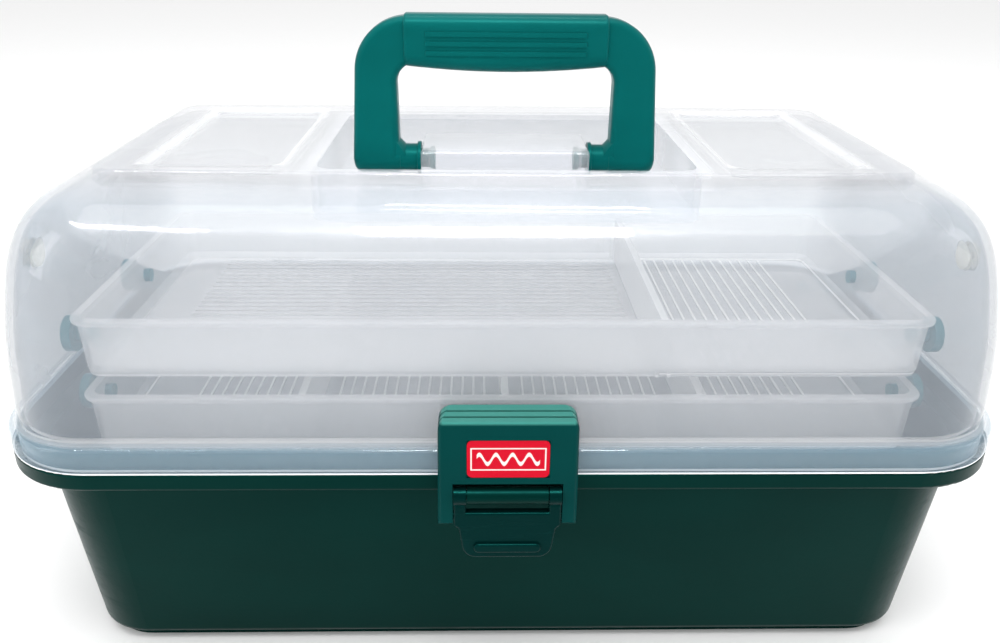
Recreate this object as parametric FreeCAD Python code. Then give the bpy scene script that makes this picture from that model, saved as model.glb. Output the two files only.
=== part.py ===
import FreeCAD, Part
import math
import os

# Storage box with a see-through lid and two trays on swinging arms.
# Millimetres, +Z up, +X to the right, front at -Y, origin at the middle of the underside.

V = FreeCAD.Vector

# ---------------------------------------------------------------- driving sizes
RIM_W = 340.0          # overall width at the rim
RIM_D = 184.0          # overall depth at the rim
RIM_R = 34.0           # plan corner radius of the rim
BASE_H = 83.0          # height of the joint between base and lid
LID_H = 90.6           # lid height above that joint
FIT = 0.08             # radial running clearance of every pivot
GAP = 0.4              # clearance between neighbouring pieces

# base
BAND_H = 6.0           # green rim band
BAND_T = 2.4
BAND_ROUND = 1.3       # rounding of the band's lower edge
BASE_WALL = 2.4
BASE_TOP_IN = 9.0      # inset of the base wall below the rim
BASE_BOT_IN = 16.5     # inset of the base wall at its foot
FOOT_H = 3.6
FOOT_IN = 4.0
FOOT_ROUND = 2.6       # rounding of the wall above the foot
FLOOR_T = 2.8
UPSTAND_H = 6.8

# lid
LID_WALL = 2.2
SKIRT_H = 9.5
SKIRT_T = 2.2
SKIRT_ROUND = 2.6      # rounding of the ledge above the skirt
WALL_IN = 6.0          # nominal inset of the lid wall from the rim
LID_CORNER = 28.0
PLATEAU_IN = 30.0      # plateau edge measured in from the lid wall
PLATEAU_R = 8.0
PLATEAU_STEP = 3.6
PLATEAU_BOW = 2.6      # how far its long sides bow outwards
WINDOW_X = 72.0        # inner side of the sunk panels
WINDOW_IN = 13.0       # their other sides, in from the plateau edge
WINDOW_DEEP = 1.8
WINDOW_SLOPE = 4.0
WELL_X = 62.0
WELL_Y0, WELL_Y1 = -54.0, 38.0
WELL_DEPTH = 14.6
BLOCK_X = 30.0
BLOCK_Y0, BLOCK_Y1 = -24.0, 7.0

# handle
HANDLE_Y = -9.0        # pivot line, parallel to X
HANDLE_DROP = 6.8      # pivot line below the plateau
HANDLE_REACH = 50.7    # pivot line to the top of the grip
HANDLE_FOOT_X = 55.0
HANDLE_TOP_X = 52.0
HANDLE_IN_X = 38.5
GRIP_H = 16.5
GRIP_T = 13.0
LEG_T = 10.6
HANDLE_PIN_R = 3.5
GRIP_PROUD = 0.8       # the grip stands above its frame by this much
GRIP_BELLY = 2.0
NECK_R = 5.1
COLLAR_R = 5.9

# trays
TRAY_IN = 24.7         # tray wall inside the lid wall
TRAY_Y_IN = 17.8       # front tray wall behind the rim
TRAY_D = 118.4
TRAY_WALL = 1.8
TRAY_FLOOR = 1.6
TRAY_R = 6.0
TRAY_LIP = 1.5
TRAY_LIP_H = 1.8
LOWER_Z, LOWER_H = 80.0, 22.0
UPPER_Z, UPPER_H = 108.0, 21.4
RIB_PITCH = 4.2
RIB_W, RIB_H = 0.8, 0.5
DIVIDER_T = 2.4
RIB_END = 22.0         # smooth floor left at the end walls

# arms
ARM_T = 3.0
ARM_R = 6.0
ARM_BAR = 4.4          # half width of the bar between its ends
PEG_R = 2.5
TRAY_SCALE = TRAY_D / 118.4          # the pivots spread with the depth of the trays
ARM_Y, ARM_Z = 49.0 * TRAY_SCALE, -24.0     # step from a pivot to the next one down the arm
REAR_Y = 54.0 * TRAY_SCALE     # long arm back to the short rear one
FRONT_Y = 44.0 * TRAY_SCALE    # long arm forward to the short front one
ARM_GAP = 2.2          # arm inner face outside the tray wall

# hinge
HINGE_Y_OUT = 5.0      # pivot line behind the rim
HINGE_UP = 1.0         # pivot line above the joint plane
HINGE_X = 95.0
KNUCKLE_R = 4.0
KNUCKLE_W = 16.0
PIN_R = 1.5

# latch
LATCH_X = 22.0
LATCH_LEG = 4.4
LATCH_OUT = 5.6        # front face of the latch plate in front of the rim
LATCH_T = 2.8
LATCH_TOP = 24.0       # top of the latch above the joint plane
LEVER_AXIS_OUT, LEVER_AXIS_DOWN = 3.9, 4.8
BARREL_R = 3.0
BARREL_X = 13.0
HOOK_AXIS_DOWN = 8.0   # hook pivot below the lever pivot
LEVER_LEN = 22.7       # lever pivot to the lower edge of the lever
SHOULDER_DOWN = 10.0   # lever pivot to where the lever narrows
GROOVE = 0.8           # width and depth of the two grooves round the latch's top

# ---------------------------------------------------------------- derived places
HW, HD = RIM_W / 2, RIM_D / 2
TOP = BASE_H + LID_H
WX, WY = HW - WALL_IN, HD - WALL_IN
TX = WX - TRAY_IN
TY0 = -HD + TRAY_Y_IN
TY1 = TY0 + TRAY_D
ARM_X0 = TX + ARM_GAP
ARM_X1 = ARM_X0 + ARM_T
PIVOT_Z = TOP - HANDLE_DROP

UP_FRONT = (TY0 + 9.2, UPPER_Z + 13.0)
UP_REAR = (UP_FRONT[0] + REAR_Y, UP_FRONT[1])
LOW_MAIN = (UP_FRONT[0] + ARM_Y, UP_FRONT[1] + ARM_Z)
LOW_FRONT = (LOW_MAIN[0] - FRONT_Y, LOW_MAIN[1])
LOW_REAR = (UP_REAR[0] + ARM_Y, UP_REAR[1] + ARM_Z)
BASE_MAIN = (LOW_MAIN[0] + ARM_Y, LOW_MAIN[1] + ARM_Z)
BASE_FRONT = (LOW_FRONT[0] + ARM_Y, LOW_FRONT[1] + ARM_Z)

HINGE = (HD + HINGE_Y_OUT, BASE_H + HINGE_UP)
LEVER = (-HD - LEVER_AXIS_OUT, BASE_H - LEVER_AXIS_DOWN)
HOOK = (LEVER[0] + 0.4, LEVER[1] - HOOK_AXIS_DOWN)


# ---------------------------------------------------------------- helpers
def outline(x0, x1, y0, y1, r, z):
    """Closed rounded rectangle in the plane at height z."""
    k = r * (1 - math.sqrt(0.5))
    arcs = [((x1 - r, y0), (x1 - k, y0 + k), (x1, y0 + r)), ((x1, y1 - r), (x1 - k, y1 - k), (x1 - r, y1)),
            ((x0 + r, y1), (x0 + k, y1 - k), (x0, y1 - r)), ((x0, y0 + r), (x0 + k, y0 + k), (x0 + r, y0))]
    edges = []
    for i, arc in enumerate(arcs):
        a, m, b = (V(p[0], p[1], z) for p in arc)
        edges.append(Part.Arc(a, m, b).toShape())
        edges.append(Part.makeLine(b, V(arcs[(i + 1) % 4][0][0], arcs[(i + 1) % 4][0][1], z)))
    return Part.Wire(edges)


def slab(x0, x1, y0, y1, r, z0, z1):
    """Upright block with rounded plan corners."""
    return Part.Face(outline(x0, x1, y0, y1, r, z0)).extrude(V(0, 0, z1 - z0))


def centred(hx, hy, r, z0, z1):
    return slab(-hx, hx, -hy, hy, r, z0, z1)


def block(x0, x1, y0, y1, z0, z1):
    return Part.makeBox(x1 - x0, y1 - y0, z1 - z0, V(x0, y0, z0))


def skin(sections, smooth=False):
    """Solid through rounded rectangles given as (half x, half y, corner radius, z)."""
    wires = [outline(-hx, hx, -hy, hy, r, z) for hx, hy, r, z in sections]
    return Part.makeLoft(wires, True, not smooth)


def rod(p, r, x0, x1):
    """Cylinder along X about the point p = (y, z)."""
    return Part.makeCylinder(r, x1 - x0, V(x0, p[0], p[1]), V(1, 0, 0))


def prism(points, x0, x1):
    """Polygon in the Y-Z plane drawn out along X."""
    ring = [V(x0, y, z) for y, z in points]
    return Part.Face(Part.makePolygon(ring + ring[:1])).extrude(V(x1 - x0, 0, 0))


def bar(p, q, half, x0, x1):
    """Flat bar between two points of the Y-Z plane."""
    length = math.hypot(q[0] - p[0], q[1] - p[1])
    ny, nz = -(q[1] - p[1]) / length * half, (q[0] - p[0]) / length * half
    return prism([(p[0] + ny, p[1] + nz), (q[0] + ny, q[1] + nz),
                  (q[0] - ny, q[1] - nz), (p[0] - ny, p[1] - nz)], x0, x1)


def join(shapes):
    return shapes[0].multiFuse(shapes[1:]).removeSplitter()


def mirrored(shape):
    return shape.mirror(V(0, 0, 0), V(1, 0, 0))


def both(shape):
    return [shape, mirrored(shape)]


def fillet(shape, radius, wanted):
    """Round the straight or round edges that the test picks out."""
    return shape.makeFillet(radius, [e for e in shape.Edges if wanted(e.BoundBox)])


parts = {}


# ---------------------------------------------------------------- base
def base_wall_half(z, extra=0.0):
    """Half width and depth of the base's outer wall at height z."""
    t = (z - FOOT_H) / (BASE_H - FOOT_H)
    inset = BASE_BOT_IN + (BASE_TOP_IN - BASE_BOT_IN) * t + extra
    return HW - inset, HD - inset


def make_base():
    r_low, r_top = RIM_R - 12, RIM_R - 8
    wall = skin([(*base_wall_half(FOOT_H), r_low, FOOT_H), (*base_wall_half(BASE_H), r_top, BASE_H)])
    wall = fillet(wall, FOOT_ROUND, lambda b: b.ZMax < FOOT_H + 0.1)
    fx, fy = base_wall_half(FOOT_H, FOOT_IN)
    foot = centred(fx, fy, r_low - FOOT_IN, 0, FOOT_H + 0.5)
    band = centred(HW, HD, RIM_R, BASE_H - BAND_H, BASE_H)
    band = fillet(band, BAND_ROUND, lambda b: b.ZMax < BASE_H - BAND_H + 0.1)
    band = fillet(band, 0.5, lambda b: b.ZMin > BASE_H - 0.1)
    band = band.cut(
        centred(HW - BAND_T, HD - BAND_T, RIM_R - BAND_T, BASE_H - BAND_H, BASE_H - BAND_T))
    up_in = SKIRT_T + GAP
    upstand = centred(HW - up_in, HD - up_in, RIM_R - up_in, BASE_H, BASE_H + UPSTAND_H)
    body = join([wall, foot, band, upstand])

    floor_z = FOOT_H + FLOOR_T
    hollow = skin([(*base_wall_half(floor_z, BASE_WALL + 2.5), r_low - 4.5, floor_z),
                   (*base_wall_half(floor_z + 2.5, BASE_WALL), r_low - BASE_WALL, floor_z + 2.5),
                   (*base_wall_half(BASE_H, BASE_WALL), r_top - BASE_WALL, BASE_H)])
    mouth_in = up_in + SKIRT_T
    mouth = centred(HW - mouth_in, HD - mouth_in, RIM_R - mouth_in, BASE_H, BASE_H + UPSTAND_H + 1)
    under = centred(fx - BASE_WALL, fy - BASE_WALL, r_low - FOOT_IN - BASE_WALL, -1, FOOT_H - 0.4)
    body = body.cut(hollow).cut(mouth).cut(under)

    # bosses that carry the arms, each with a gusset down the wall
    adds, holes = [], []
    for p in (BASE_MAIN, BASE_FRONT):
        wall_x = base_wall_half(p[1])[0] - BASE_WALL / 2
        foot_x = base_wall_half(p[1] - 26)[0] - BASE_WALL / 2
        x0 = ARM_X1 + GAP
        adds.append(rod(p, ARM_R + 0.4, x0, wall_x))
        gusset = Part.makePolygon([V(x0 + 2, p[0] - 1, p[1] - 4), V(wall_x, p[0] - 1, p[1] - 4),
                                   V(foot_x, p[0] - 1, p[1] - 26), V(x0 + 2, p[0] - 1, p[1] - 4)])
        adds.append(Part.Face(gusset).extrude(V(0, 2, 0)))
        holes.append(rod(p, PEG_R + FIT, x0 - 1, x0 + 8.5))
    # shelf under each long arm, where it comes to rest
    run = (BASE_MAIN[0] - 20, BASE_MAIN[0] - 13)
    slope = ARM_Z / ARM_Y
    drop = ARM_BAR * math.hypot(1, slope) + 0.35
    tops = [BASE_MAIN[1] + slope * (y - BASE_MAIN[0]) - drop for y in run]
    shelf = prism([(run[0], tops[0]), (run[1], tops[1]), (run[1], tops[1] - 9), (run[0], tops[0] - 9)],
                  ARM_X0, base_wall_half(tops[1] - 4)[0] - BASE_WALL / 2)
    adds.append(shelf)
    # knuckles of the two rear hinges
    web_top = BASE_H - GAP
    for side in (-1, 1):
        inner = KNUCKLE_W / 2 + GAP
        x0 = HINGE_X + (inner if side > 0 else -inner - 10)
        adds.append(rod(HINGE, KNUCKLE_R, x0, x0 + 10))
        adds.append(block(x0, x0 + 10, HD - 1.5, HINGE[0], BASE_H - BAND_H + 0.8, web_top))
        holes.append(rod(HINGE, PIN_R + 0.03, x0 - 1, x0 + 11))
    adds = [s for a in adds for s in both(a)]
    holes = [s for h in holes for s in both(h)]
    # barrel for the latch lever
    adds.append(rod(LEVER, BARREL_R, -BARREL_X, BARREL_X))
    adds.append(block(-BARREL_X, BARREL_X, LEVER[0], -HD + 1.5, LEVER[1] - 1.2, LEVER[1] + 2.4))
    holes.append(rod(LEVER, PIN_R + FIT, -BARREL_X - 1, BARREL_X + 1))
    return join([body] + adds).cut(Part.makeCompound(holes))


parts["base"] = make_base()


# ---------------------------------------------------------------- lid
def lid_profile():
    """Lid wall as (inset from the nominal wall, height), from the ledge to the plateau."""
    h = LID_H
    return [(-1.8, SKIRT_H - LID_WALL), (-2.0, 0.25 * h), (-1.4, 0.38 * h), (-0.5, 0.47 * h), (0.6, 0.55 * h),
            (2.0, 0.635 * h), (3.6, 0.71 * h), (5.8, 0.778 * h), (8.4, 0.832 * h), (11.8, 0.876 * h),
            (16.0, 0.912 * h), (20.8, 0.938 * h), (25.6, 0.953 * h), (PLATEAU_IN, h - PLATEAU_STEP)]


def offset_profile(profile, t):
    """The same curve moved inwards by the wall thickness t."""
    out = []
    for i, (s, z) in enumerate(profile):
        a, b = profile[max(i - 1, 0)], profile[min(i + 1, len(profile) - 1)]
        ds, dz = b[0] - a[0], b[1] - a[1]
        n = math.hypot(ds, dz)
        out.append((s + t * dz / n, z - t * ds / n))
    out[0] = (out[0][0], -1.0)
    return out


def lid_skin(profile):
    return skin([(WX - s, WY - s, max(PLATEAU_R + 3, LID_CORNER - 0.55 * s), BASE_H + z) for s, z in profile],
                smooth=True)


def bowed(hx, hy, r, z):
    """Rounded rectangle whose front and back sides bow outwards."""
    k, b = r * (1 - math.sqrt(0.5)), PLATEAU_BOW
    right = [V(hx - r, -hy, z), V(hx - k, -hy + k, z), V(hx, -hy + r, z)]
    left = [V(-hx, -hy + r, z), V(-hx + k, -hy + k, z), V(-hx + r, -hy, z)]
    edges = [Part.Arc(left[2], V(0, -hy - b, z), right[0]).toShape(), Part.Arc(*right).toShape(),
             Part.makeLine(right[2], V(hx, hy - r, z))]
    edges += [Part.Arc(V(hx, hy - r, z), V(hx - k, hy - k, z), V(hx - r, hy, z)).toShape(),
              Part.Arc(V(hx - r, hy, z), V(0, hy + b, z), V(-hx + r, hy, z)).toShape(),
              Part.Arc(V(-hx + r, hy, z), V(-hx + k, hy - k, z), V(-hx, hy - r, z)).toShape(),
              Part.makeLine(V(-hx, hy - r, z), left[0]), Part.Arc(*left).toShape()]
    return Part.Wire(edges)


def window(grow, drop):
    """Sunk panel in the plateau with sloped sides, on the right; grow and drop give the wall below it."""
    px, py = WX - PLATEAU_IN, WY - PLATEAU_IN
    x0, x1 = WINDOW_X, px - WINDOW_IN
    y0, y1 = -py + WINDOW_IN / 2, py - WINDOW_IN / 2
    s, top = WINDOW_SLOPE, TOP - drop
    wires = [outline(x0 - grow + s, x1 + grow - s, y0 - grow + s, y1 + grow - s, 4, top - WINDOW_DEEP),
             outline(x0 - grow, x1 + grow, y0 - grow, y1 + grow, 8, top),
             outline(x0 - grow, x1 + grow, y0 - grow, y1 + grow, 8, top + 1)]
    return Part.makeLoft(wires, True, True)


def make_lid():
    outer = lid_profile()
    shell = lid_skin(outer)
    px, py = WX - PLATEAU_IN, WY - PLATEAU_IN
    plateau = Part.makeLoft([bowed(px + 1.2, py + 1.2, PLATEAU_R + 1.2, TOP - PLATEAU_STEP - 3),
                             bowed(px, py, PLATEAU_R, TOP)], True, True)
    plateau = fillet(plateau, 1.4, lambda b: b.ZMin > TOP - 0.1)
    skirt = centred(HW, HD, RIM_R, BASE_H, BASE_H + SKIRT_H)
    skirt = fillet(skirt, SKIRT_ROUND, lambda b: b.ZMin > BASE_H + SKIRT_H - 0.1)
    skirt = fillet(skirt, 0.6, lambda b: b.ZMax < BASE_H + 0.1)
    pocket_wall = slab(-WELL_X - LID_WALL, WELL_X + LID_WALL, WELL_Y0 - LID_WALL, WELL_Y1 + LID_WALL, 8,
                       TOP - WELL_DEPTH - LID_WALL, TOP - 1)
    catch = prism([(-WY + 2, BASE_H + SKIRT_H), (-HD - 0.2, BASE_H + SKIRT_H + 3), (-HD - 1.2, BASE_H + 17),
                   (-HD - 1.2, BASE_H + LATCH_TOP - 2.8), (-WY + 2, BASE_H + LATCH_TOP - 2.8)], -15, 15)
    solid = join([shell, plateau, skirt])

    inner = lid_skin(offset_profile(outer, LID_WALL))
    under = centred(px + 1.2 - LID_WALL, py + 1.2 - LID_WALL, PLATEAU_R, TOP - PLATEAU_STEP - 8, TOP - LID_WALL)
    skirt_in = centred(HW - SKIRT_T, HD - SKIRT_T, RIM_R - SKIRT_T, BASE_H - 1, BASE_H + SKIRT_H - LID_WALL)
    solid = solid.cut(join([inner, under, skirt_in]))

    well = slab(-WELL_X, WELL_X, WELL_Y0, WELL_Y1, 6, TOP - WELL_DEPTH, TOP + 1)
    solid = join([solid, pocket_wall, catch] + both(window(1.6, LID_WALL))).cut(well)

    # block in the well that carries the handle, hollow from below
    pivot = slab(-BLOCK_X, BLOCK_X, BLOCK_Y0, BLOCK_Y1, 3, TOP - WELL_DEPTH - 1, TOP - 1)
    pivot = fillet(pivot, 1.6, lambda b: b.ZMin > TOP - 1.1)
    hollow = slab(-BLOCK_X + 2.6, BLOCK_X - 2.6, BLOCK_Y0 + 2.6, BLOCK_Y1 - 2.6, 1.5,
                  TOP - WELL_DEPTH - LID_WALL - 1, TOP - 2.2)

    # round bosses high on the end walls
    boss = rod((-45.0, BASE_H + 59.0), 4.8, WX - 5, WX - 1.5).cut(rod((-45.0, BASE_H + 59.0), 1.2, WX - 2.1, WX))
    # lid knuckles
    knuckle = rod(HINGE, KNUCKLE_R, HINGE_X - KNUCKLE_W / 2, HINGE_X + KNUCKLE_W / 2)
    web = block(HINGE_X - KNUCKLE_W / 2, HINGE_X + KNUCKLE_W / 2, HD - 1.5, HINGE[0], BASE_H + 0.6,
                HINGE[1] + KNUCKLE_R)
    solid = join([solid, pivot] + both(boss) + both(knuckle) + both(web)).cut(hollow)
    windows = [window(0, 0)]
    bores = [rod(HINGE, PIN_R + FIT, HINGE_X - KNUCKLE_W, HINGE_X + KNUCKLE_W)]
    pin_hole = rod((HANDLE_Y, PIVOT_Z), HANDLE_PIN_R + FIT, BLOCK_X - 4, BLOCK_X + 1)
    cuts = [s for c in windows + bores + [pin_hole] for s in both(c)]
    return solid.cut(Part.makeCompound(cuts))


parts["lid"] = make_lid()


# ---------------------------------------------------------------- handle
def make_handle():
    z0, z1 = PIVOT_Z, PIVOT_Z + HANDLE_REACH
    y = HANDLE_Y

    def plate(points, thick):
        ring = [V(x, y - thick / 2, z) for x, z in points]
        return Part.Face(Part.makePolygon(ring + ring[:1])).extrude(V(0, thick, 0))

    zf = z1 - GRIP_PROUD
    outer = plate([(-HANDLE_FOOT_X, z0), (-HANDLE_TOP_X, zf), (HANDLE_TOP_X, zf), (HANDLE_FOOT_X, z0)], LEG_T)
    outer = fillet(outer, 19, lambda b: b.ZMin > zf - 0.1 and b.YLength > LEG_T - 0.1)
    inside = plate([(-HANDLE_IN_X + 0.5, z0 - 9), (-HANDLE_IN_X, z1 - GRIP_H), (HANDLE_IN_X, z1 - GRIP_H),
                    (HANDLE_IN_X - 0.5, z0 - 9)], LEG_T + 4)
    inside = fillet(inside, 7, lambda b: b.ZMin > z1 - GRIP_H - 0.1 and b.YLength > LEG_T)
    frame = outer.cut(inside)
    frame = fillet(frame, 2.6, lambda b: b.ZMax > z0 + 0.5 and b.YLength < 0.01)
    feet = fillet(rod((y, z0), LEG_T / 2, HANDLE_IN_X - 0.5, HANDLE_FOOT_X), 3.4, lambda b: b.XMin > 50)
    frame = join([frame] + both(feet))

    # grip: a thicker, softly rounded length in the middle with a belly below
    half, low = 35.5, z1 - GRIP_H - 1.0
    edges = [Part.makeLine(V(-half, 0, low), V(-half, 0, z1)), Part.makeLine(V(-half, 0, z1), V(half, 0, z1)),
             Part.makeLine(V(half, 0, z1), V(half, 0, low)),
             Part.Arc(V(half, 0, low), V(0, 0, low - GRIP_BELLY), V(-half, 0, low)).toShape()]
    grip = Part.Face(Part.Wire(edges)).extrude(V(0, GRIP_T, 0))
    grip.translate(V(0, y - GRIP_T / 2, 0))
    grip = fillet(grip, 4.5, lambda b: b.XLength > 2 * half - 0.1)
    grip = fillet(grip, 1.0, lambda b: b.XLength < 0.01)
    lines = [slab(-28, 28, y - GRIP_T / 2 - 0.5, y, 0.4, z, z + 1.6) for z in
             (z1 - 7.2, z1 - 10.4, z1 - 13.6)]
    lines += [s.mirror(V(0, y, 0), V(0, 1, 0)) for s in lines]

    # neck: a collar against the block, then a waist that flares into the leg
    x0, x1 = BLOCK_X + GAP, HANDLE_IN_X + 2.0
    collar = fillet(rod((y, z0), COLLAR_R, x0, x0 + 1.4), 0.4, lambda b: b.XLength < 0.01 and b.XMin > x0 + 1)
    waist = rod((y, z0), NECK_R, x0 + 0.5, x1)
    flare = Part.makeCone(NECK_R - 0.5, NECK_R + 4.5, 5.0, V(x1 - 5.0, y, z0), V(1, 0, 0))
    flare = flare.common(block(x1 - 6, x1 + 1, y - LEG_T / 2 + 0.4, y + LEG_T / 2 - 0.4, z0, z0 + 20))
    pin = rod((y, z0), HANDLE_PIN_R, BLOCK_X - 4.2, x0 + 1)
    bead = rod((y, z0), HANDLE_PIN_R + 0.7, BLOCK_X - 4.6, BLOCK_X - 2.6 - 0.35)
    neck = [part for piece in (collar, waist, flare, pin, bead) for part in both(piece)]
    return join([frame, grip] + lines + neck)


parts["handle"] = make_handle()


# ---------------------------------------------------------------- trays
def make_tray(z0, height, dividers, lengthwise):
    """Open tray; dividers are X places, lengthwise says which compartments have ribs along X."""
    z1 = z0 + height
    cy, hy = (TY0 + TY1) / 2, TRAY_D / 2
    move = V(0, cy, 0)
    body = skin([(TX - 3.2, hy - 3.2, TRAY_R - 2, z0), (TX - 1.6, hy - 1.6, TRAY_R - 1, z0 + 0.9),
                 (TX - 0.8, hy - 0.8, TRAY_R, z0 + 3), (TX, hy, TRAY_R, z1 - 0.2)])
    lip = centred(TX + TRAY_LIP, hy + TRAY_LIP, TRAY_R + TRAY_LIP, z1 - TRAY_LIP_H, z1)
    lip = fillet(lip, 0.7, lambda b: b.ZLength < 0.01)
    t = TRAY_WALL
    hollow = skin([(TX - 3.6 - t, hy - 3.6 - t, TRAY_R - 3, z0 + TRAY_FLOOR),
                   (TX - 0.8 - t, hy - 0.8 - t, TRAY_R - 2, z0 + TRAY_FLOOR + 2.6),
                   (TX - t, hy - t, TRAY_R - 1.5, z1 + 0.2)])
    adds = []
    edges = [-TX + RIB_END] + dividers + [TX - RIB_END]
    floor = z0 + TRAY_FLOOR
    for i, along in enumerate(lengthwise):
        x0 = edges[i] + (5 if i else 0)
        x1 = edges[i + 1] - (5 if i + 1 < len(edges) - 1 else 0)
        if along:
            n = int((2 * hy - 14) / RIB_PITCH)
            for k in range(n + 1):
                yy = -n * RIB_PITCH / 2 + k * RIB_PITCH
                adds.append(block(x0, x1, yy - RIB_W / 2, yy + RIB_W / 2, floor - 0.2, floor + RIB_H))
        else:
            n = int((x1 - x0 - 2) / RIB_PITCH)
            for k in range(n + 1):
                xx = (x0 + x1) / 2 - n * RIB_PITCH / 2 + k * RIB_PITCH
                adds.append(block(xx - RIB_W / 2, xx + RIB_W / 2, -hy + 7, hy - 7, floor - 0.2, floor + RIB_H))
    # slots for the dividers: two upright ribs on each long wall
    for x in dividers:
        for s in (-1, 1):
            a = x + s * (DIVIDER_T / 2 + 0.15)
            x0, x1 = min(a, a + s * 1.2), max(a, a + s * 1.2)
            for y0, y1 in ((-hy + 0.6, -hy + t + 2.4), (hy - t - 2.4, hy - 0.6)):
                adds.append(block(x0, x1, y0, y1, z0 + 1, z1 - TRAY_LIP_H))
    tray = join([join([body, lip]).cut(hollow)] + adds)
    tray.translate(move)
    return tray


def pierce(tray, points):
    holes = [s for p in points for s in both(rod(p, PEG_R + FIT, TX - 5, TX + 3))]
    return tray.cut(Part.makeCompound(holes))


def make_divider(x, z0, height):
    t = TRAY_WALL + 0.8 + 0.25
    z_low, z_top = z0 + TRAY_FLOOR + RIB_H + 0.05, z0 + height - 1.2
    y0, y1 = TY0 + t, TY1 - t
    points = [(y0 + 3.2, z_low), (y0 + 0.6, z_low + 2.8), (y0, z_top), (y1, z_top), (y1 - 0.6, z_low + 2.8),
              (y1 - 3.2, z_low)]
    return prism(points, x - DIVIDER_T / 2, x + DIVIDER_T / 2)


UPPER_DIV = [0.37 * TX]
LOWER_DIV = [-0.492 * TX, -0.003 * TX, 0.472 * TX]
parts["tray_upper"] = pierce(make_tray(UPPER_Z, UPPER_H, UPPER_DIV, [True, False]), [UP_FRONT, UP_REAR])
parts["tray_lower"] = pierce(make_tray(LOWER_Z, LOWER_H, LOWER_DIV, [False] * 4), [LOW_FRONT, LOW_MAIN, LOW_REAR])
parts["divider_upper"] = make_divider(UPPER_DIV[0], UPPER_Z, UPPER_H)
for name, x in zip(("left", "middle", "right"), LOWER_DIV):
    parts["divider_lower_" + name] = make_divider(x, LOWER_Z, LOWER_H)


# ---------------------------------------------------------------- arms
def make_arm(points, inward, outward):
    """Flat arm on the right-hand side with round pegs at its pivots."""
    shapes = [bar(points[0], points[-1], ARM_BAR, ARM_X0, ARM_X1)]
    shapes += [rod(p, ARM_R, ARM_X0, ARM_X1) for p in points]
    shapes += [rod(p, PEG_R, TX - 4.4, ARM_X0 + 1) for p in inward]
    shapes += [rod(p, PEG_R, ARM_X1 - 1, ARM_X1 + GAP + 8) for p in outward]
    return join(shapes)


ARMS = {"arm_long": make_arm([BASE_MAIN, LOW_MAIN, UP_FRONT], [LOW_MAIN, UP_FRONT], [BASE_MAIN]),
        "arm_short_front": make_arm([BASE_FRONT, LOW_FRONT], [LOW_FRONT], [BASE_FRONT]),
        "arm_short_rear": make_arm([LOW_REAR, UP_REAR], [LOW_REAR, UP_REAR], [])}
for name, arm in ARMS.items():
    parts[name + "_right"] = arm
    parts[name + "_left"] = mirrored(arm)


# ---------------------------------------------------------------- hinge pins
pin_half = KNUCKLE_W / 2 + GAP + 10
hinge_pin = rod(HINGE, PIN_R, HINGE_X - pin_half - 0.6, HINGE_X + pin_half + 0.6)
parts["hinge_pin_right"] = hinge_pin
parts["hinge_pin_left"] = mirrored(hinge_pin)


# ---------------------------------------------------------------- latch
EAR_X0 = BARREL_X + 0.35
EAR_X1 = LATCH_X - LATCH_LEG - 0.35
PLATE_Y = -HD - LATCH_OUT          # front face of the hook plate
LEVER_Y = PLATE_Y - 1.0            # front face of the lever


def make_lever():
    y, z = LEVER
    low = z - LEVER_LEN
    top = z - BARREL_R - 2.2
    e = EAR_X1
    half = [(e, top), (e, z - SHOULDER_DOWN), (e - 1.5, z - SHOULDER_DOWN - 1.6), (e - 3.2, low)]
    ring = [V(px, LEVER_Y, pz) for px, pz in half] + [V(-px, LEVER_Y, pz) for px, pz in half[::-1]]
    plate = Part.Face(Part.makePolygon(ring + ring[:1])).extrude(V(0, 2.8, 0))
    plate = fillet(plate, 4.6, lambda b: b.ZMax < low + 0.1 and b.YLength > 2.7)
    plate = fillet(plate, 0.8, lambda b: abs(b.YMax - LEVER_Y) < 0.01)
    grip = slab(-11.0, 11.0, 0, 3.4, 1.69, 0, 2.2)
    grip = fillet(grip, 0.7, lambda b: b.ZMin > 2.1)
    grip.rotate(V(0, 0, 0), V(1, 0, 0), 90)
    grip.translate(V(0, LEVER_Y + 1.0, low + 2.7))
    side = prism([(LEVER_Y + 0.4, z), (LEVER_Y, z - 3), (LEVER_Y, z - SHOULDER_DOWN), (y + 1.4, HOOK[1] - 3.2),
                  (y + 3.2, HOOK[1] - 1), (y + 3.3, z)], EAR_X0, EAR_X1)
    side = fillet(side, 0.7, lambda b: b.YMax < LEVER_Y + 0.5 and b.XLength < 0.01)
    ear = join([side, rod(LEVER, 3.3, EAR_X0, EAR_X1)])
    solid = join([plate, grip] + both(ear))
    holes = [rod(LEVER, PIN_R + 0.03, EAR_X0 - 1, EAR_X1 - 0.8), rod(HOOK, PIN_R + FIT, EAR_X0 - 1, EAR_X1 + 1)]
    return solid.cut(Part.makeCompound([s for h in holes for s in both(h)]))


def hook_blank(inset, top, y0, y1):
    """Block of the hook's front outline between two places in depth."""
    x, low = LATCH_X - inset, HOOK[1] - 3.4
    ring = [V(-x - 0.5, y0, low), V(-x, y0, top), V(x, y0, top), V(x + 0.5, y0, low)]
    solid = Part.Face(Part.makePolygon(ring + ring[:1])).extrude(V(0, y1 - y0, 0))
    return fillet(solid, 4.6, lambda b: b.ZMin > top - 0.1 and b.YLength > 0.1)


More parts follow.
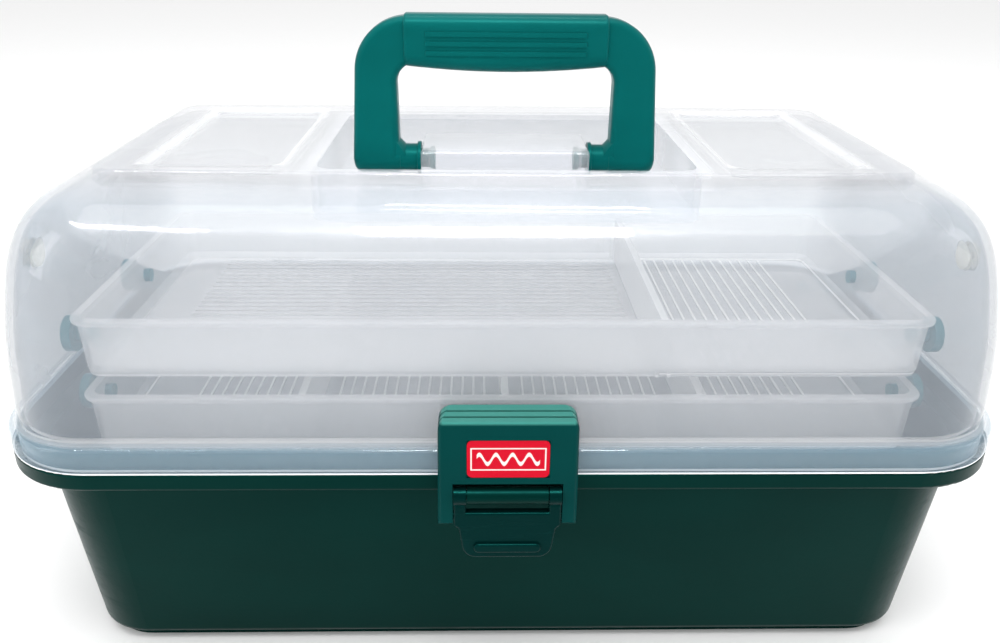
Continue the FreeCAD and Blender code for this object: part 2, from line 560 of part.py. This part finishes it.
def make_hook():
    x, f = LATCH_X, PLATE_Y
    top, seat = BASE_H + LATCH_TOP, BASE_H + LATCH_TOP - 2.8 + 0.35
    plate_low = BASE_H + 0.4
    leg_low = HOOK[1] - 3.4
    rear = -WY - 2.4
    solid = hook_blank(0, top, f, rear)
    # the top falls away towards the front edge
    wedge = prism([(f - 1, top + 1), (f - 1, top - 1.6), (f, top - 1.6), (rear, top), (rear + 1, top + 1)],
                  -x - 2, x + 2)
    solid = solid.cut(wedge)
    solid = fillet(solid, 1.5, lambda b: abs(b.YMax - f) < 0.01 and b.ZMin > leg_low + 1)
    side = 2.2
    inner = block(-x + side, x - side, f + LATCH_T, rear + 1, leg_low - 1, seat)
    window = block(-x + LATCH_LEG, x - LATCH_LEG, f - 1, rear + 1, leg_low - 1, plate_low)
    back_low = block(-x - 2, x + 2, -HD - 0.7, rear + 1, leg_low - 1, BASE_H + SKIRT_H + 0.5)
    solid = solid.cut(join([inner, window, back_low]))
    legs = both(block(x - LATCH_LEG, x + 0.2, f + 0.3, -HD - 0.7, leg_low + 2.4, plate_low + 3))
    solid = join([solid] + legs)
    toe = prism([(f - 1, leg_low - 1), (f - 1, leg_low + 2.6), (f + 2.2, leg_low - 0.01), (f + 3, leg_low - 1)],
                -x - 2, x + 2)
    grooves = []
    for a in (0.3, 0.62):
        y0 = f + a * (rear - f)
        here = top - 1.6 * (1 - a)
        grooves.append(block(-x - 1, x + 1, y0, y0 + GROOVE, top - 9, top + 1).cut(
            hook_blank(GROOVE, here - GROOVE, y0 - 1, y0 + 2)))
    recess = block(-13.15, 13.15, f - 1, f + 0.6, BASE_H + 2.7, BASE_H + 16.4)
    bores = both(rod(HOOK, PIN_R + 0.03, x - LATCH_LEG - 1, x - 1.2))
    return solid.cut(Part.makeCompound([toe, recess] + bores + grooves))


parts["latch_lever"] = make_lever()
parts["latch_hook"] = make_hook()

label = slab(-13.0, 13.0, 0, 13.4, 1.8, 0, 0.5)
label.rotate(V(0, 0, 0), V(1, 0, 0), 90)
label.translate(V(0, PLATE_Y + 0.6, BASE_H + 2.85))
parts["latch_label"] = label
parts["latch_pin"] = rod(LEVER, PIN_R, -EAR_X1 + 1.2, EAR_X1 - 1.2)
hook_pin = rod(HOOK, PIN_R, EAR_X0 + 0.4, LATCH_X - 1.4)
parts["hook_pin_right"] = hook_pin
parts["hook_pin_left"] = mirrored(hook_pin)


# ---------------------------------------------------------------- export
os.makedirs("parts", exist_ok=True)
for name, shape in parts.items():
    solids = shape.Solids
    print(name, "solids", len(solids), "valid", shape.isValid(), "volume", round(shape.Volume / 1000, 2))
    (solids[0] if len(solids) == 1 else shape).exportStep("parts/" + name + ".step")
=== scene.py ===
import math

import bpy
from mathutils import Matrix, Vector


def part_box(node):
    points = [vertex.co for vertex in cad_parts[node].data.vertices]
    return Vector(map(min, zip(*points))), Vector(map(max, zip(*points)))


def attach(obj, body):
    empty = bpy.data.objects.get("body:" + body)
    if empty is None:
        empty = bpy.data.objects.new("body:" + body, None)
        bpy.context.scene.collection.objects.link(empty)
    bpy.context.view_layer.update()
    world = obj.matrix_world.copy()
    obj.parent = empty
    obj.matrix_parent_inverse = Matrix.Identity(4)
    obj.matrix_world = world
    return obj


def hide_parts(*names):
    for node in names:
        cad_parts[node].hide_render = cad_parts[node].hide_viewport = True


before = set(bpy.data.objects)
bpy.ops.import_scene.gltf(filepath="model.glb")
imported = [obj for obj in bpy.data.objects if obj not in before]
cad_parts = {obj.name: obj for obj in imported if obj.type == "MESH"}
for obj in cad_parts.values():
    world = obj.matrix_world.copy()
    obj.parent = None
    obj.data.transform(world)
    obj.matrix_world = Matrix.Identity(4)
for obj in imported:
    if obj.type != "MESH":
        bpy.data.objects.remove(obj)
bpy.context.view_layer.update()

bl_info = {
    "name": "Sewing Box with Trays",
    "version": (1, 0, 0),
    "blender": (4, 5, 0),
    "location": "3D View > Sidebar > Sewing Box",
    "description": "Finishes and small pieces of a moulded sewing box with swinging trays",
    "category": "Add Mesh",
}

MM = 0.001


def low(node):
    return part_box(node)[0]


def high(node):
    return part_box(node)[1]


# ------------------------------------------------------------------ settings
class PlasticSettings(bpy.types.PropertyGroup):
    tub_green: bpy.props.FloatVectorProperty(
        name="Tub green", description="Colour of the tub", subtype="COLOR",
        size=3, min=0, max=1, default=(0.0004, 0.0155, 0.0125))
    bright_green: bpy.props.FloatVectorProperty(
        name="Bright green", description="Colour of the handle and latch", subtype="COLOR",
        size=3, min=0, max=1, default=(0.002, 0.108, 0.104))
    arm_green: bpy.props.FloatVectorProperty(
        name="Arm green", description="Colour of the six tray arms", subtype="COLOR",
        size=3, min=0, max=1, default=(0.002, 0.108, 0.128))
    gloss_roughness: bpy.props.FloatProperty(
        name="Green roughness", description="Roughness of the green plastic", default=0.3, min=0, max=1)
    lid_tint: bpy.props.FloatVectorProperty(
        name="Lid tint", description="Colour of the see-through lid", subtype="COLOR",
        size=3, min=0, max=1, default=(0.475, 0.54, 0.612))
    lid_haze: bpy.props.FloatProperty(
        name="Lid haze", description="How milky one face of the lid's wall is", default=0.235, min=0, max=1)
    tray_tint: bpy.props.FloatVectorProperty(
        name="Tray tint", description="Colour of the trays", subtype="COLOR",
        size=3, min=0, max=1, default=(0.97, 0.94, 0.93))
    tray_haze: bpy.props.FloatProperty(
        name="Tray haze", description="How milky one face of a tray's wall is", default=0.3, min=0, max=1)


class LabelSettings(bpy.types.PropertyGroup):
    red: bpy.props.FloatVectorProperty(
        name="Plate red", description="Colour of the plate in the latch", subtype="COLOR",
        size=3, min=0, max=1, default=(0.57, 0.002, 0.018))
    print_white: bpy.props.FloatVectorProperty(
        name="Print white", description="Colour of the printed border and stitches", subtype="COLOR",
        size=3, min=0, max=1, default=(0.85, 0.76, 0.74))
    line: bpy.props.FloatProperty(
        name="Line width", description="Width of the printed border", subtype="DISTANCE",
        unit="LENGTH", default=0.45 * MM, min=0.1 * MM, max=2 * MM)


class StageSettings(bpy.types.PropertyGroup):
    floor_colour: bpy.props.FloatVectorProperty(
        name="Floor colour", description="Colour of the floor", subtype="COLOR",
        size=3, min=0, max=1, default=(0.93, 0.93, 0.93))
    key_power: bpy.props.FloatProperty(
        name="Key power", description="Power of the overhead soft light", subtype="POWER",
        default=17.0, min=0)
    strip_power: bpy.props.FloatProperty(
        name="Strip power", description="Power of the narrow lights that draw the highlights",
        subtype="POWER", default=18.0, min=0)
    sky: bpy.props.FloatProperty(
        name="Sky strength", description="Strength of the even light from all round", default=0.93, min=0)
    lens: bpy.props.FloatProperty(
        name="Lens", description="Focal length of the camera in millimetres", default=32.66, min=10, max=200)


# ------------------------------------------------------------------ materials
class Value:
    """One number running through a material, so that its maths reads as an expression."""

    def __init__(self, finish, socket):
        self.finish, self.socket = finish, socket

    def math(self, operation, *others):
        inputs = dict(enumerate([self, *others]))
        node = self.finish.node("ShaderNodeMath", {"operation": operation}, inputs)
        return Value(self.finish, node.outputs[0])

    def __add__(self, other):
        return self.math("ADD", other)

    __radd__ = __add__

    def __mul__(self, other):
        return self.math("MULTIPLY", other)

    __rmul__ = __mul__

    def __sub__(self, other):
        return self.math("SUBTRACT", other)

    def __rsub__(self, other):
        return (self * -1.0).math("ADD", other)

    def __truediv__(self, other):
        return self.math("DIVIDE", other)

    def __lt__(self, other):
        return self.math("LESS_THAN", other)

    def clamp(self):
        return self.math("MAXIMUM", 0.0).math("MINIMUM", 1.0)


class Finish:
    """A material built node by node round one Principled shader."""

    def __init__(self, name):
        self.material = bpy.data.materials.new(name)
        self.material.use_nodes = True
        self.nodes = self.material.node_tree.nodes
        self.links = self.material.node_tree.links
        self.nodes.clear()
        self.shader = self.node("ShaderNodeBsdfPrincipled")
        output = self.node("ShaderNodeOutputMaterial")
        self.links.new(self.shader.outputs[0], output.inputs[0])
        self.place = self.node("ShaderNodeTexCoord").outputs["Object"]

    def node(self, kind, settings=None, inputs=None):
        """Adds a node: its settings first, then the values or links of its sockets."""
        node = self.nodes.new(kind)
        for key, value in (settings or {}).items():
            setattr(node, key, value)
        for key, value in (inputs or {}).items():
            self.feed(node.inputs[key], value)
        return node

    def feed(self, socket, value):
        if isinstance(value, Value):
            value = value.socket
        if isinstance(value, bpy.types.NodeSocket):
            self.links.new(value, socket)
        elif socket.type == "RGBA" and len(value) == 3:
            socket.default_value = (*value, 1.0)
        else:
            socket.default_value = value

    def set(self, **inputs):
        """Sets sockets of the shader, with spaces written as underscores."""
        for key, value in inputs.items():
            self.feed(self.shader.inputs[key.replace("_", " ")], value)

    def axes(self):
        split = self.node("ShaderNodeSeparateXYZ", None, {0: self.place})
        return [Value(self, split.outputs[i]) for i in range(3)]

    def noise(self, scale, detail=2.0, stretch=None):
        place = self.place
        if stretch:
            place = self.node("ShaderNodeMapping", None, {"Vector": place, "Scale": stretch}).outputs[0]
        node = self.node("ShaderNodeTexNoise", None, {"Vector": place, "Scale": scale, "Detail": detail})
        return Value(self, node.outputs["Fac"])

    def spread(self, value, start, end):
        """Stretches the part of a value between start and end to the range 0 to 1."""
        return ((value - start) / (end - start)).clamp()

    def between(self, value, start, end, soft):
        """1 between start and end, falling softly to 0 outside."""
        return self.spread(value, start - soft, start + soft) * self.spread(value, end + soft, end - soft)

    def mix(self, amount, a, b):
        node = self.node("ShaderNodeMix", {"data_type": "RGBA"})
        for key, value in ((0, amount), (6, a), (7, b)):
            self.feed(node.inputs[key], value)
        return node.outputs[2]

    def grazing(self):
        """0 where the surface is met square on, 1 where it is met edge on."""
        return Value(self, self.node("ShaderNodeLayerWeight", None, {"Blend": 0.5}).outputs["Facing"])

    def bump(self, height, strength, distance):
        inputs = {"Strength": strength, "Distance": distance, "Height": height}
        self.set(Normal=self.node("ShaderNodeBump", None, inputs).outputs[0])


def scaled(colour, amount):
    return tuple(min(1.0, c * amount) for c in colour)


GREEN_GLOSS = (0.06, 0.75, 0.66, 1.0)
TUB_GRAIN, FINE_GRAIN = 650.0, 900.0     # how close the skin's grain is


def moulded_green(name, colour, roughness, grain, painted_highlight=None):
    """Dense coloured plastic with a faint flow mottle, fine skin and a few rub marks.

    The last argument gives the height and half width above and within which a highlight is painted into the
    colour, as light falling on the top, and the highlight's colour.
    """
    f = Finish(name)
    flow = f.noise(14.0, 3.0, (1.0, 1.0, 2.4))
    rub = f.spread(f.noise(38.0, 6.0, (1.0, 3.0, 9.0)), 0.56, 0.74)
    skin = f.noise(grain, 2.0)
    shade = f.mix(f.spread(flow, 0.3, 0.7), scaled(colour, 0.88), scaled(colour, 1.14))
    # painted highlight: a lighter colour above the given height, standing in for light falling on the top
    if painted_highlight:
        height, half_width, highlight_colour = painted_highlight
        x, _, z = f.axes()
        amount = f.spread(z, height, height + 0.8 * MM)
        amount = amount * f.between(x.math("ABSOLUTE"), -1.0, half_width, 0.2 * MM)
        shade = f.mix(amount, shade, highlight_colour)
    f.set(Base_Color=shade, Roughness=rub * 0.14 + skin * 0.08 + (roughness - 0.04),
          Specular_IOR_Level=0.12, Specular_Tint=GREEN_GLOSS)
    f.bump(skin * 0.7 + flow * 0.3, 0.12, 0.0003)
    return f


# the lid where it is seen against the room, over the tub, at a panel's edge (a painted highlight), a boss
# and an edge (a painted highlight)
LID_CLEAR = (0.52, 0.535, 0.57)
SKIRT_BLUE = (0.39, 0.57, 0.70)
PANEL_EDGE_HIGHLIGHT = (0.92, 0.93, 0.95)
BOSS_CREAM = (0.95, 0.88, 0.70)
LID_EDGE_HIGHLIGHT = (0.97, 0.98, 1.0)


def lid_plastic(p):
    """Clear plastic with a light haze, milkier at the ends, at the panels' edges and where it is met edge
    on; its tint has painted shade at the ends, painted light over the deck and the well and painted
    highlights along edges.
    """
    f = Finish("frosted lid")
    x, y, z = f.axes()
    across = x.math("ABSOLUTE")
    flow = f.noise(9.0, 4.0, (1.0, 1.0, 1.8))
    skin = f.noise(420.0, 2.0)
    joint, skirt_top, deck_foot, deck_top = 83.0 * MM, 92.5 * MM, 165.5 * MM, 171.5 * MM
    panel_in, panel_out, panel_half, panel_slope = 72.0 * MM, 121.0 * MM, 49.5 * MM, 3.5 * MM
    boss_y, boss_z, boss_r = -45.0 * MM, joint + 59.0 * MM, 5.2 * MM
    above_skirt = f.spread(z, skirt_top, skirt_top + MM)
    # the deck's tint is lightened as painted light
    deck = f.spread(z, deck_foot, deck_top)
    # the end walls' tint is darkened as painted shade and their haze raised
    ends = f.spread(across, 150.0 * MM, 163.0 * MM) * above_skirt

    def panel(inset):
        wide = f.between(across, panel_in + inset, panel_out - inset, MM)
        return wide * f.between(y, inset - panel_half, panel_half - inset, MM) * deck

    # the band between outer and inner is a panel's edge, given a painted highlight in the tint and more haze
    outer, inner = panel(0.0), panel(panel_slope)
    # painted highlights: a white line along the skirt's lower lip and another along the ledge at the skirt's
    # top
    lip = f.between(z, joint - MM, joint + 0.9 * MM, 0.2 * MM)
    ledge_highlight = f.between(z, skirt_top - 0.1 * MM, skirt_top + 1.3 * MM, 0.3 * MM) * (1.0 - ends)
    boss = ((y - boss_y).math("POWER", 2.0) + (z - boss_z).math("POWER", 2.0)).math("SQRT")
    boss = f.between(boss, -1.0, boss_r, 0.3 * MM) * ends
    # the well's tint is lightened further as painted light
    well = f.between(across, -0.1, 66.5 * MM, 0.5 * MM) * f.between(y, -57.0 * MM, 41.0 * MM, 0.5 * MM)
    well = well * f.between(z, 155.0 * MM, 0.2, 0.4 * MM)
    steep = f.grazing().math("POWER", 3.0)
    haze = (p.lid_haze - 0.03) + flow * 0.06 + ends * 0.2 + steep * 0.4
    haze = haze + (outer - inner) * 0.12 - inner * 0.06 - well * 0.02
    tint = f.mix(f.spread(flow, 0.3, 0.7), scaled(p.lid_tint, 0.97), scaled(p.lid_tint, 1.03))
    # tints in turn: darker ends (painted shade), lighter deck and well (painted light), the blue skirt,
    # white panel edges (painted highlight), the cream boss, white lip and ledge lines (painted highlights)
    for mask, colour in ((ends, scaled(LID_CLEAR, 0.62)), (deck, scaled(LID_CLEAR, 1.1)),
                         (well, scaled(LID_CLEAR, 1.55)), (1.0 - above_skirt, SKIRT_BLUE),
                         ((outer - inner).clamp(), PANEL_EDGE_HIGHLIGHT), (boss, BOSS_CREAM),
                         ((lip + ledge_highlight).clamp(), LID_EDGE_HIGHLIGHT)):
        tint = f.mix(mask, tint, colour)
    f.set(Base_Color=tint, Roughness=flow * 0.1 + 0.22,
          Alpha=(haze + lip * 0.9 + ledge_highlight * 0.14 + boss * 0.6).clamp(), Specular_IOR_Level=0.6,
          Coat_Weight=1.0, Coat_Roughness=0.02, Coat_IOR=1.6)
    f.bump(skin * 0.2 + flow, 0.04, 0.0006)
    return f


def tray_plastic(p):
    """Milky plastic, whiter at the lip, the floor and the floor's ribs."""
    f = Finish("milky tray")
    x, _, z = f.axes()
    cloud = f.noise(22.0, 3.0)
    skin = f.noise(500.0, 2.0)
    # the ribs of the wide upper compartment run along the tray and hardly show
    lower_top = high("tray_lower").z
    faint = f.spread(z, lower_top, lower_top + MM) * (x < low("divider_upper").x)
    edges = []
    for node in ("tray_lower", "tray_upper"):
        bottom, top = low(node).z, high(node).z
        lip = f.between(z, top - 1.9 * MM, top + MM, 0.2 * MM)
        rib = f.between(z, bottom + 1.85 * MM, bottom + 2.3 * MM, 0.1 * MM)
        floor = f.between(z, bottom - MM, bottom + 1.8 * MM, 0.2 * MM)
        edges.append(lip * 0.04 + rib * (0.42 - faint * 0.42) + floor * (0.04 + faint * 0.1))
    f.set(Base_Color=f.mix(cloud, scaled(p.tray_tint, 0.96), scaled(p.tray_tint, 1.04)),
          Roughness=cloud * 0.1 + 0.3, Alpha=(sum(edges) + cloud * 0.06 + (p.tray_haze - 0.03)).clamp(),
          Specular_IOR_Level=0.5, Coat_Weight=0.5, Coat_Roughness=0.1)
    f.bump(skin, 0.06, 0.0003)
    return f


def divider_plastic(p):
    """Milky plastic of the plates that divide the trays."""
    f = Finish("milky divider")
    cloud = f.noise(40.0, 3.0)
    f.set(Base_Color=f.mix(cloud, scaled(p.tray_tint, 0.97), scaled(p.tray_tint, 1.06)),
          Roughness=cloud * 0.1 + 0.32, Alpha=cloud * 0.08 + 0.5, Specular_IOR_Level=0.5)
    f.bump(f.noise(500.0, 2.0), 0.06, 0.0003)
    return f


def drawn_wire():
    """Bare wire with fine lines along it."""
    f = Finish("drawn wire")
    line = f.noise(60.0, 3.0, (1.0, 60.0, 60.0))
    f.set(Base_Color=f.mix(line, (0.42, 0.42, 0.43), (0.66, 0.66, 0.67)), Metallic=1.0,
          Roughness=line * 0.18 + 0.22)
    f.bump(line, 0.1, 0.0001)
    return f


def printed_plate(p):
    """Red plate with a printed frame and a row of stitches."""
    stitch, stitch_rise, thread_half, soft = 5.2 * MM, 1.7 * MM, 0.75 * MM, 0.08 * MM
    f = Finish("printed plate")
    x, _, z = f.axes()
    a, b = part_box("latch_label")
    cx, cz = (a.x + b.x) / 2, (a.z + b.z) / 2
    side, margin = 1.1 * MM, 2.6 * MM
    hx, hz = (b.x - a.x) / 2 - side, (b.z - a.z) / 2 - margin
    ax, az = (x - cx).math("ABSOLUTE"), (z - cz).math("ABSOLUTE")
    outside = f.between(ax, -1, hx, soft) * f.between(az, -1, hz, soft)
    inside = f.between(ax, -1, hx - p.line, soft) * f.between(az, -1, hz - p.line, soft)
    wave = ((x - cx) * (2 * math.pi / stitch)).math("SINE") * stitch_rise
    thread = f.between((z - cz) - wave, -thread_half, thread_half, 0.12 * MM)
    thread = thread * f.between(ax, -1, hx - 2.0 * MM, 0.1 * MM)
    ink = (outside - inside + thread).clamp()
    worn = f.noise(260.0, 4.0)
    f.set(Base_Color=f.mix(ink * (0.9 + worn * 0.1), p.red, p.print_white),
          Roughness=worn * 0.15 + 0.25, Specular_IOR_Level=0.08)
    f.bump(ink, 0.2, 0.00008)
    return f


def paper_floor(p):
    """Pale paper with a faint fibre."""
    f = Finish("paper floor")
    fibre = f.noise(35.0, 4.0)
    f.set(Base_Color=f.mix(fibre, scaled(p.floor_colour, 0.985), scaled(p.floor_colour, 1.01)),
          Roughness=fibre * 0.1 + 0.7)
    f.bump(fibre, 0.03, 0.0004)
    return f


def coat(nodes, finish):
    """Gives the named CAD nodes a finish."""
    for name in nodes:
        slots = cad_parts[name].data.materials
        slots.clear()
        slots.append(finish.material)


# ------------------------------------------------------------------ modelling helpers
def start():
    """Leaves edit mode and deselects everything before a new object."""
    if bpy.context.object and bpy.context.object.mode != "OBJECT":
        bpy.ops.object.mode_set(mode="OBJECT")
    bpy.ops.object.select_all(action="DESELECT")


def finish_piece(obj, name, body, finish, replaced=()):
    """Applies the place, names the piece and ties it to its body."""
    bpy.ops.object.mode_set(mode="OBJECT")
    bpy.ops.object.select_all(action="DESELECT")
    obj.select_set(True)
    bpy.context.view_layer.objects.active = obj
    bpy.ops.object.transform_apply(location=True, rotation=True, scale=True)
    for modifier in list(obj.modifiers):
        bpy.ops.object.modifier_apply(modifier=modifier.name)
    bpy.ops.object.shade_smooth_by_angle(angle=math.radians(35))
    obj.name = obj.data.name = name
    obj.data.materials.clear()
    obj.data.materials.append(finish.material)
    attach(obj, body)
    if replaced:
        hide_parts(*replaced)
    return obj


# ------------------------------------------------------------------ operators
class BOX_OT_tub(bpy.types.Operator):
    """Finishes the green tub"""
    bl_idname = "sewing_box.tub"
    bl_label = "Tub"

    def execute(self, context):
        p = context.scene.box_plastic
        coat(["base"], moulded_green("tub green", p.tub_green, p.gloss_roughness, TUB_GRAIN))
        return {"FINISHED"}


class BOX_OT_lid(bpy.types.Operator):
    """Finishes the see-through lid"""
    bl_idname = "sewing_box.lid"
    bl_label = "Lid"

    def execute(self, context):
        coat(["lid"], lid_plastic(context.scene.box_plastic))
        return {"FINISHED"}


class BOX_OT_handle(bpy.types.Operator):
    """Finishes the carry handle"""
    bl_idname = "sewing_box.handle"
    bl_label = "Handle"

    def execute(self, context):
        p = context.scene.box_plastic
        coat(["handle"], moulded_green("handle green", p.bright_green, p.gloss_roughness, FINE_GRAIN))
        return {"FINISHED"}


class BOX_OT_latch(bpy.types.Operator):
    """Finishes the latch and its pins"""
    bl_idname = "sewing_box.latch"
    bl_label = "Latch"

    def execute(self, context):
        p = context.scene.box_plastic
        knuckle = (low("latch_pin").z + high("latch_pin").z) / 2 - 2.5 * MM
        crown = high("latch_hook").z - 2.5 * MM
        # the hook is the bright green darkened as painted shade, with a painted highlight on its top above
        # crown
        hook = moulded_green("hook green", scaled(p.bright_green, 0.33), p.gloss_roughness, FINE_GRAIN,
                             (crown, 1.0, (0.045, 0.2, 0.17)))
        # the lever and its pins are the bright green darkened further as painted shade, with a painted
        # highlight on the knuckle
        lever = moulded_green("lever green", scaled(p.bright_green, 0.11), p.gloss_roughness - 0.06,
                              FINE_GRAIN, (knuckle, 11.5 * MM, (0.02, 0.19, 0.18)))
        coat(["latch_hook"], hook)
        coat(["latch_lever", "latch_pin", "hook_pin_left", "hook_pin_right"], lever)
        coat(["hinge_pin_left", "hinge_pin_right"], drawn_wire())
        return {"FINISHED"}


class BOX_OT_label(bpy.types.Operator):
    """Models the red plate in the latch"""
    bl_idname = "sewing_box.label"
    bl_label = "Latch plate"

    def execute(self, context):
        corner, border = 1.8 * MM, 0.25 * MM
        a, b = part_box("latch_label")
        start()
        size = b - a
        bpy.ops.mesh.primitive_cube_add(size=1, location=(a + b) / 2, scale=size)
        obj = context.object
        bpy.ops.object.transform_apply(location=False, rotation=False, scale=True)
        bpy.ops.object.mode_set(mode="EDIT")
        bpy.ops.mesh.select_mode(type="EDGE")
        bpy.ops.mesh.select_all(action="DESELECT")
        bpy.ops.object.mode_set(mode="OBJECT")
        for edge in obj.data.edges:
            p, q = (obj.data.vertices[i].co for i in edge.vertices)
            edge.select = abs(p.y - q.y) > size.y / 2
        bpy.ops.object.mode_set(mode="EDIT")
        bpy.ops.mesh.bevel(offset=corner, segments=6, affect="EDGES")
        bpy.ops.mesh.select_mode(type="FACE")
        bpy.ops.mesh.select_all(action="DESELECT")
        bpy.ops.object.mode_set(mode="OBJECT")
        for face in obj.data.polygons:
            face.select = face.normal.y < -0.9
        bpy.ops.object.mode_set(mode="EDIT")
        bpy.ops.mesh.inset(thickness=border, depth=0)
        finish_piece(obj, "latch_plate", "latch_hook", printed_plate(context.scene.box_label),
                     ["latch_label"])
        return {"FINISHED"}


class BOX_OT_trays(bpy.types.Operator):
    """Finishes both trays and their dividers"""
    bl_idname = "sewing_box.trays"
    bl_label = "Trays"

    def execute(self, context):
        p = context.scene.box_plastic
        coat(["tray_lower", "tray_upper"], tray_plastic(p))
        coat([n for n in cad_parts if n.startswith("divider")], divider_plastic(p))
        return {"FINISHED"}


class BOX_OT_arms(bpy.types.Operator):
    """Finishes the six tray arms"""
    bl_idname = "sewing_box.arms"
    bl_label = "Tray arms"

    def execute(self, context):
        p = context.scene.box_plastic
        coat([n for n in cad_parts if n.startswith("arm_")],
             moulded_green("arm green", p.arm_green, p.gloss_roughness + 0.08, FINE_GRAIN))
        return {"FINISHED"}


class BOX_OT_stage(bpy.types.Operator):
    """Sets the floor, the soft light and the camera"""
    bl_idname = "sewing_box.stage"
    bl_label = "Stage"

    def execute(self, context):
        p = context.scene.box_stage
        scene = context.scene
        start()
        bpy.ops.mesh.primitive_plane_add(size=12, location=(0, 0, 0))
        floor = context.object
        floor.name = "floor"
        floor.data.materials.append(paper_floor(p).material)

        world = bpy.data.worlds.new("room")
        scene.world = world
        world.use_nodes = True
        back = next(n for n in world.node_tree.nodes if n.type == "BACKGROUND")
        back.inputs["Color"].default_value = (1, 1, 1, 1)
        back.inputs["Strength"].default_value = p.sky

        # soft boxes light the object; the narrow lights only draw highlights on its curved plastic
        lamps = (
            ("top box", (0.0, -0.3, 1.6), (0, 0, 0.1), (1.6, 1.2), p.key_power, True),
            ("left box", (-1.2, -0.6, 0.7), (0, 0, 0.1), (0.5, 0.9), p.key_power * 0.3, True),
            ("right box", (1.3, -0.3, 0.8), (0, 0, 0.1), (0.5, 0.9), p.key_power * 0.2, True),
            ("front window", (0.02, -0.70, 1.3), (0.0, -0.08, 0.15), (0.47, 0.3), p.strip_power, False),
            ("ceiling tube", (0.05, 0.2, 1.3), (0, 0, 0.15), (0.42, 0.05), p.strip_power * 0.15, False),
            ("left tube", (-0.64, -0.5, 1.28), (-0.1, -0.08, 0.15), (0.5, 0.05), p.strip_power * 0.2, False),
        )
        for name, place, target, size, power, soft in lamps:
            start()
            turn = (Vector(target) - Vector(place)).to_track_quat("-Z", "Y").to_euler()
            bpy.ops.object.light_add(type="AREA", location=place, rotation=turn)
            light = context.object
            light.name = name
            light.visible_diffuse = soft
            light.data.shape = "RECTANGLE"
            light.data.size, light.data.size_y = size
            light.data.energy = power

        yaw, pitch, roll = math.radians(1.472), math.radians(23.687), math.radians(0.683)
        right = Vector((math.cos(yaw), -math.sin(yaw), 0))
        ahead = Vector((math.sin(yaw) * math.cos(pitch), math.cos(yaw) * math.cos(pitch), -math.sin(pitch)))
        up = right.cross(ahead)
        side = math.cos(roll) * right + math.sin(roll) * up
        top = math.cos(roll) * up - math.sin(roll) * right
        start()
        bpy.ops.object.camera_add()
        camera = context.object
        camera.data.lens = p.lens
        camera.data.clip_start = 0.01
        stand = Matrix.Translation((-9.37 * MM, -339.9 * MM, 246.01 * MM))
        camera.matrix_world = stand @ Matrix((side, top, -ahead)).transposed().to_4x4()
        scene.camera = camera
        scene.view_settings.view_transform = "Standard"
        # the lid and trays are seen through each other, so light passes many clear walls
        scene.cycles.transparent_max_bounces = 32
        return {"FINISHED"}


OPERATORS = (BOX_OT_stage, BOX_OT_tub, BOX_OT_lid, BOX_OT_handle, BOX_OT_latch, BOX_OT_label, BOX_OT_trays,
             BOX_OT_arms)


class BOX_PT_panel(bpy.types.Panel):
    """Lists the settings and the steps that make the sewing box"""
    bl_label = "Sewing Box"
    bl_idname = "BOX_PT_panel"
    bl_space_type = "VIEW_3D"
    bl_region_type = "UI"
    bl_category = "Sewing Box"

    def draw(self, context):
        for settings in (context.scene.box_plastic, context.scene.box_label, context.scene.box_stage):
            column = self.layout.column(align=True)
            for key in settings.__annotations__:
                column.prop(settings, key)
        for operator in OPERATORS:
            self.layout.operator(operator.bl_idname)


CLASSES = (PlasticSettings, LabelSettings, StageSettings, *OPERATORS, BOX_PT_panel)


def register():
    for cls in CLASSES:
        bpy.utils.register_class(cls)
    bpy.types.Scene.box_plastic = bpy.props.PointerProperty(type=PlasticSettings)
    bpy.types.Scene.box_label = bpy.props.PointerProperty(type=LabelSettings)
    bpy.types.Scene.box_stage = bpy.props.PointerProperty(type=StageSettings)


def unregister():
    del bpy.types.Scene.box_plastic, bpy.types.Scene.box_label, bpy.types.Scene.box_stage
    for cls in reversed(CLASSES):
        bpy.utils.unregister_class(cls)


def main():
    register()
    for operator in OPERATORS:
        group, name = operator.bl_idname.split(".")
        getattr(getattr(bpy.ops, group), name)()


if __name__ == "__main__":
    main()
